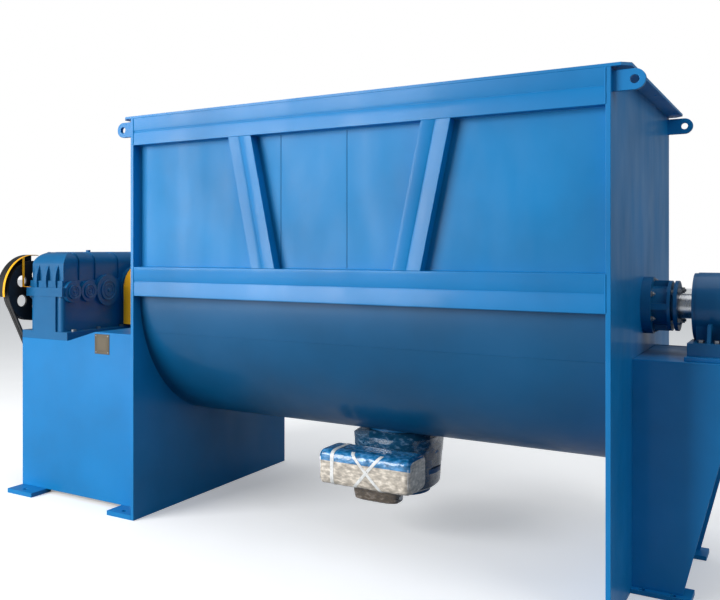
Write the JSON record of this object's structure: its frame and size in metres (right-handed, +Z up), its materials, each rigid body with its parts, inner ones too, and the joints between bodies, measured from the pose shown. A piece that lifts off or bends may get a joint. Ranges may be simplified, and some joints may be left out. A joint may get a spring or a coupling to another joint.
{
  "type": "horizontal ribbon blender",
  "caption": "Horizontal ribbon blender: U-shaped trough in a plate frame, double ribbon rotor, belt and gear drive on a pedestal, outboard bearing and air-driven butterfly discharge valve.",
  "frame": {"origin": "on the floor under the middle of the whole machine's length and depth", "axes": "+Z up, +X along the rotor shaft from the drive end to the outboard bearing, -Y towards the discharge valve's actuator"},
  "size_m": [3.903, 1.5256, 2.147],
  "materials": {
    "trough_paint": "glossy mid-blue enamel",
    "drive_paint": "glossy blue enamel over cast iron",
    "guard_paint": "glossy safety yellow-orange",
    "black_iron": "black painted cast iron",
    "bright_steel": "machined steel",
    "rotor_steel": "rolled mild steel",
    "gear_steel": "cut gear steel",
    "bearing_steel": "polished bearing steel",
    "bolt_steel": "zinc plated, dulled",
    "belt_rubber": "matt black",
    "seat_rubber": "soft black",
    "packing_cord": "braided and greased",
    "actuator_alloy": "hard anodised",
    "disc_steel": "turned stainless steel",
    "plate_bronze": "dark etched metal, bare",
    "motor_paint": "blue enamel"
  },
  "bodies": {
    "machine": {"end_plate_left": "trough_paint", "end_plate_right": "trough_paint", "trough_shell": "trough_paint", "trough_walls": "trough_paint", "top_rails": "trough_paint", "mid_rails": "trough_paint", "struts": "trough_paint", "top_flange": "trough_paint", "lifting_lugs": "trough_paint", "drive_pedestal_panels": "trough_paint", "drive_pedestal_deck": "trough_paint", "drive_pedestal_feet": "trough_paint", "outboard_pedestal": "trough_paint", "outboard_pedestal_feet": "trough_paint", "outlet_spools": "trough_paint", "seal_housings": "trough_paint", "glands": "trough_paint", "gearbox_lower_housing": "drive_paint", "gearbox_upper_housing": "drive_paint", "gearbox_covers": "drive_paint", "plummer_block": "drive_paint", "bearing_housing": "drive_paint", "bearing_housing_caps": "drive_paint", "coupling_guard": "guard_paint", "belt_guard": "guard_paint", "motor_rails": "black_iron", "bearing_outer_rings": "bearing_steel", "seal_studs": "bolt_steel", "hex_bolts": "bolt_steel", "v_belts": "belt_rubber", "valve_seat": "seat_rubber", "packing_rings": "packing_cord", "actuator_body": "actuator_alloy", "actuator_caps": "actuator_alloy", "air_valve": "actuator_alloy", "rating_plate": "plate_bronze", "motor_body": "motor_paint", "valve_body": "motor_paint"},
    "rotor": {"main_shaft": "bright_steel", "ribbon_arms": "rotor_steel", "outer_ribbons": "rotor_steel", "inner_ribbons": "rotor_steel", "coupling_halves": "black_iron", "coupling_pins": "bright_steel", "output_shaft": "bright_steel", "output_wheel": "gear_steel", "bearing_inner_rings": "bearing_steel"},
    "third_gear_shaft": {"third_pinion_shaft": "bright_steel", "third_wheel": "gear_steel"},
    "second_gear_shaft": {"second_pinion_shaft": "bright_steel", "second_wheel": "gear_steel"},
    "input_shaft": {"input_pinion_shaft": "bright_steel", "driven_pulley": "black_iron"},
    "motor_rotor": {"motor_shaft": "bright_steel", "motor_pulley": "black_iron"},
    "valve_flap": {"valve_disc": "disc_steel", "valve_stem": "bright_steel", "actuator_pinion": "gear_steel"},
    "left_piston": {"piston_left": "actuator_alloy"},
    "right_piston": {"piston_right": "actuator_alloy"}
  },
  "joints": [
    {"name": "rotor_spin", "type": "hinge", "parent": "machine", "child": "rotor", "pos_m": [0.3055, 0.01275, 1.189], "axis": [1, 0, 0], "continuous": true},
    {"name": "third_shaft_spin", "type": "hinge", "parent": "machine", "child": "third_gear_shaft", "pos_m": [-1.6955, -0.25725, 1.189], "axis": [1, 0, 0], "continuous": true},
    {"name": "second_shaft_spin", "type": "hinge", "parent": "machine", "child": "second_gear_shaft", "pos_m": [-1.6955, -0.41625, 1.189], "axis": [1, 0, 0], "continuous": true},
    {"name": "input_shaft_spin", "type": "hinge", "parent": "machine", "child": "input_shaft", "pos_m": [-1.6955, -0.54375, 1.189], "axis": [1, 0, 0], "continuous": true},
    {"name": "motor_spin", "type": "hinge", "parent": "machine", "child": "motor_rotor", "pos_m": [-1.8325, -0.23025, 0.35], "axis": [1, 0, 0], "continuous": true},
    {"name": "valve_turn", "type": "hinge", "parent": "machine", "child": "valve_flap", "pos_m": [0.3055, 0.01275, 0.352], "axis": [0, 1, 0], "range_deg": [0, 90]},
    {"name": "left_piston_travel", "type": "slide", "parent": "machine", "child": "left_piston", "axis": [-1, 0, 0], "range_m": [0, 0.044]},
    {"name": "right_piston_travel", "type": "slide", "parent": "machine", "child": "right_piston", "axis": [1, 0, 0], "range_m": [0, 0.044]}
  ],
  "couplings": [
    {"joint": "third_shaft_spin", "follows": "rotor_spin", "ratio": -2.8571},
    {"joint": "second_shaft_spin", "follows": "rotor_spin", "ratio": 8.7912},
    {"joint": "input_shaft_spin", "follows": "rotor_spin", "ratio": -23.234},
    {"joint": "motor_spin", "follows": "rotor_spin", "ratio": -54.111},
    {"joint": "left_piston_travel", "follows": "valve_turn", "m_per_rad": 0.028},
    {"joint": "right_piston_travel", "follows": "valve_turn", "m_per_rad": 0.028}
  ]
}
